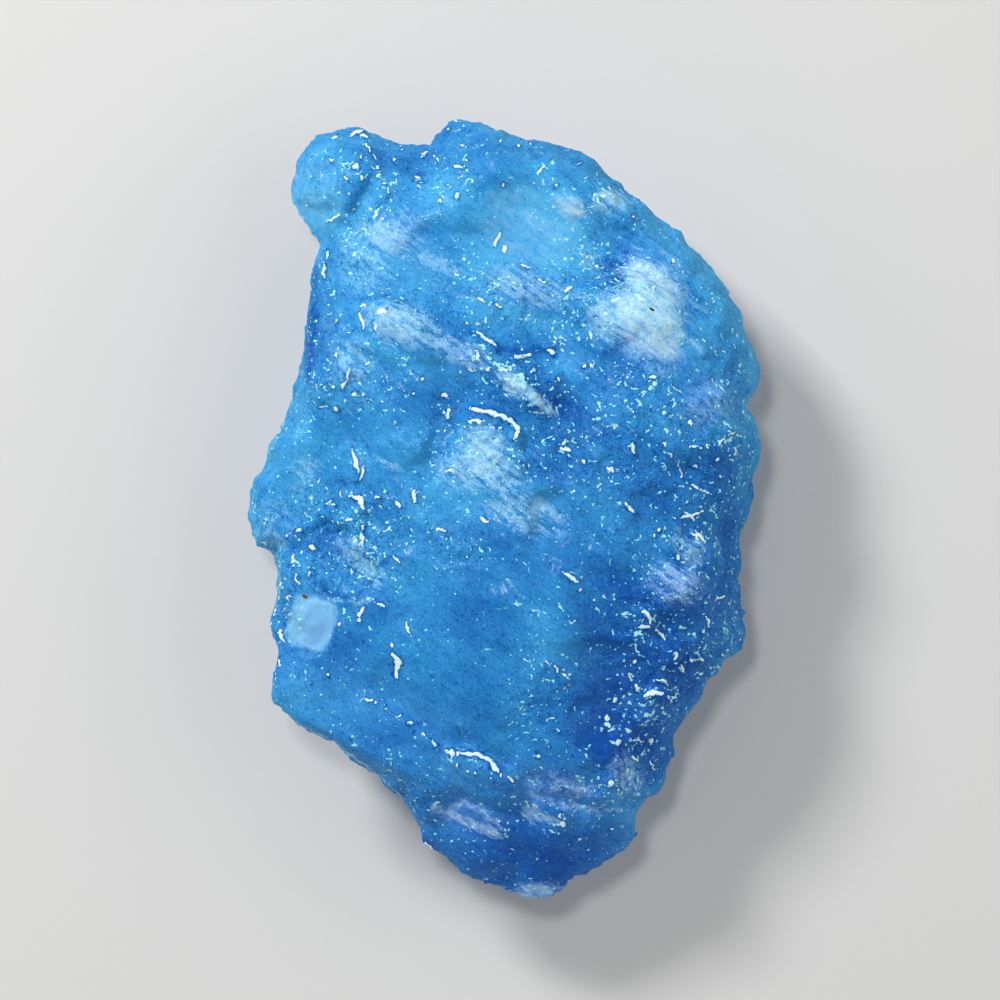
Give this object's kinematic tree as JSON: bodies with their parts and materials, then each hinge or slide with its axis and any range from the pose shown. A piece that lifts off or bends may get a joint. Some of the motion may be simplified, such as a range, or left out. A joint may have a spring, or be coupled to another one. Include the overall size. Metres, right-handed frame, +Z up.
{
  "type": "aquamarine crystal",
  "caption": "Rough piece of translucent blue aquamarine with a broken show face, milky patches and a flat back to rest on.",
  "frame": {"origin": "centre of the bounding box's foot, on the flat back that the crystal rests on", "axes": "+Z up, out of the show face; +Y towards the crystal's upper end, along its longest extent; +X to the right of the show face"},
  "size_m": [0.0514, 0.0782, 0.0242],
  "materials": {
    "aquamarine": "wet, glossy, cloudy inside with milky patches"
  },
  "bodies": {
    "root": {"aquamarine_crystal": "aquamarine"}
  },
  "joints": []
}
